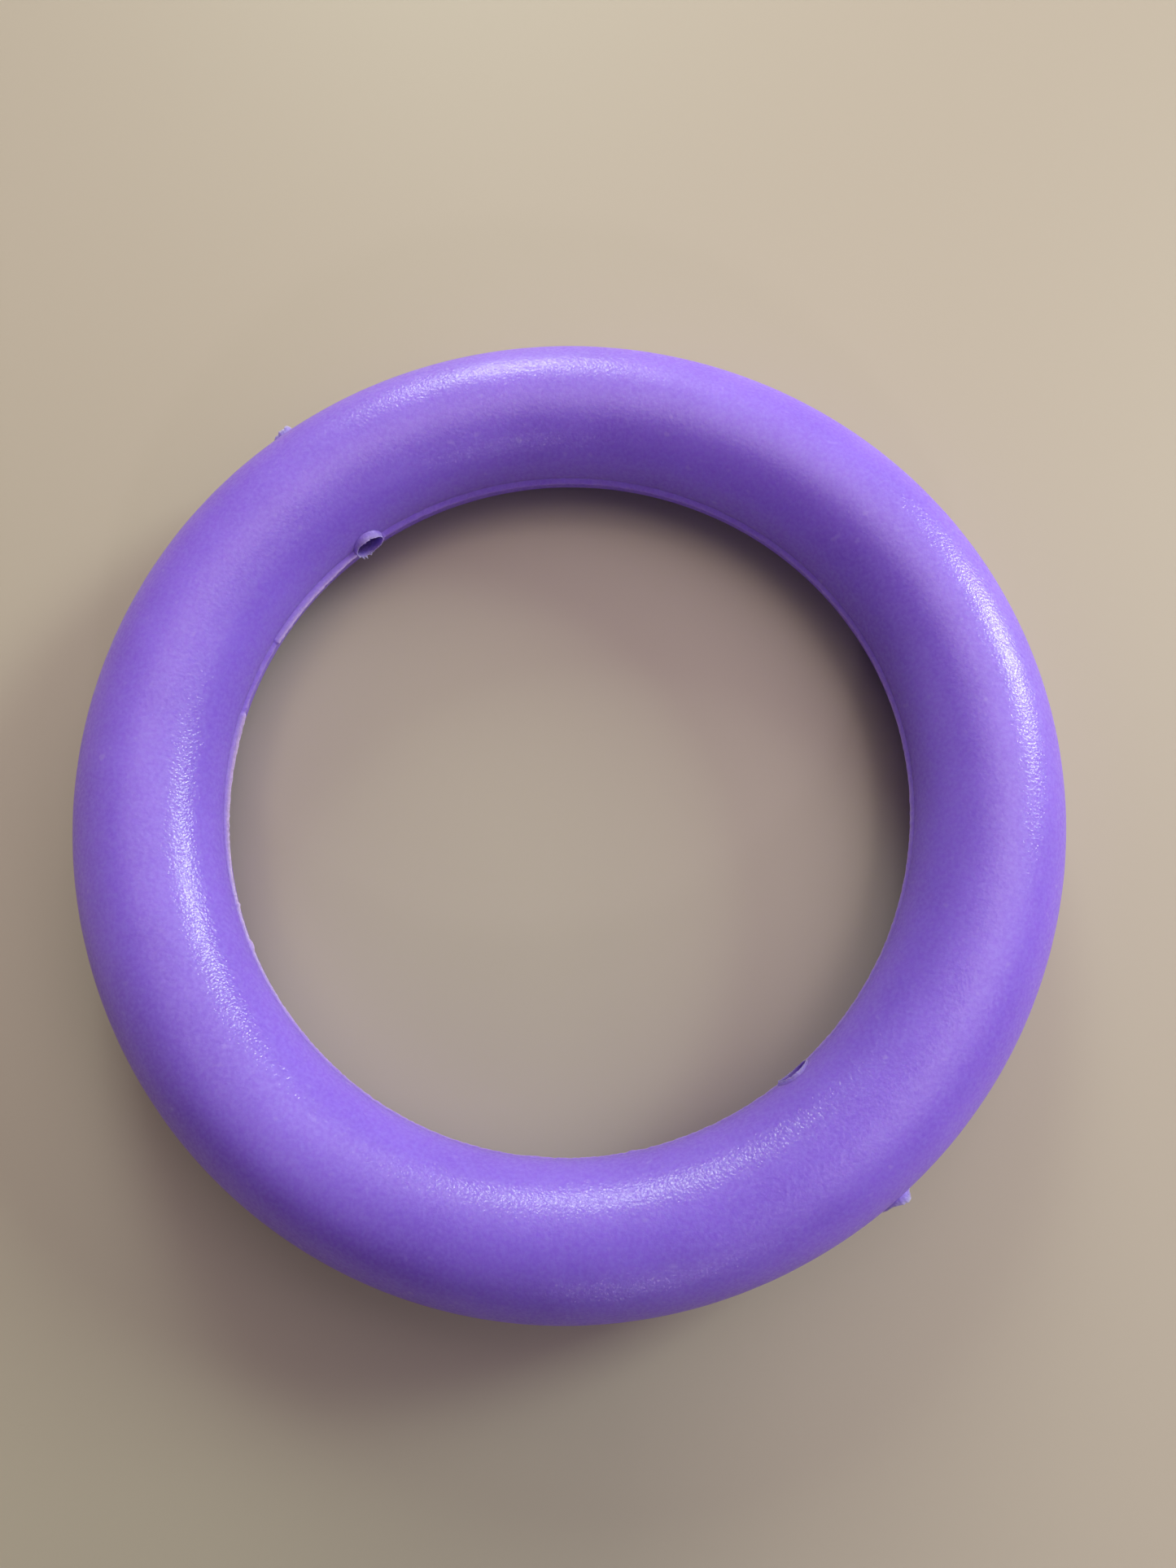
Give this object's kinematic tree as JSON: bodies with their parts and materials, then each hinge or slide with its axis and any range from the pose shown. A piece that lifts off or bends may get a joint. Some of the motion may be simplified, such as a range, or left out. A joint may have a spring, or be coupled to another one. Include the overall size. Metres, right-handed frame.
{
  "type": "juggling ring",
  "caption": "Hollow round-section plastic ring for juggling or tossing, joined along its equator and drilled straight across for a cord or rod.",
  "frame": {"origin": "centre of the ring, on the parting plane of its two half shells", "axes": "+Z along the ring's axis, through the upper half shell; the hole across the ring runs 128.5 degrees from +X towards +Y"},
  "size_m": [0.0802, 0.0802, 0.0118],
  "materials": {
    "shell": "purple polyethylene, sand-blasted semi-matt",
    "flash": "thin pale translucent edge, knife trimmed",
    "burr": "pale stretched plastic, torn edge"
  },
  "bodies": {
    "root": {"upper_shell": "shell", "lower_shell": "shell", "inner_flash": "flash", "outer_flash": "flash", "inner_burr_a": "burr", "inner_burr_b": "burr", "outer_burr_a": "burr", "outer_burr_b": "burr"}
  },
  "joints": []
}
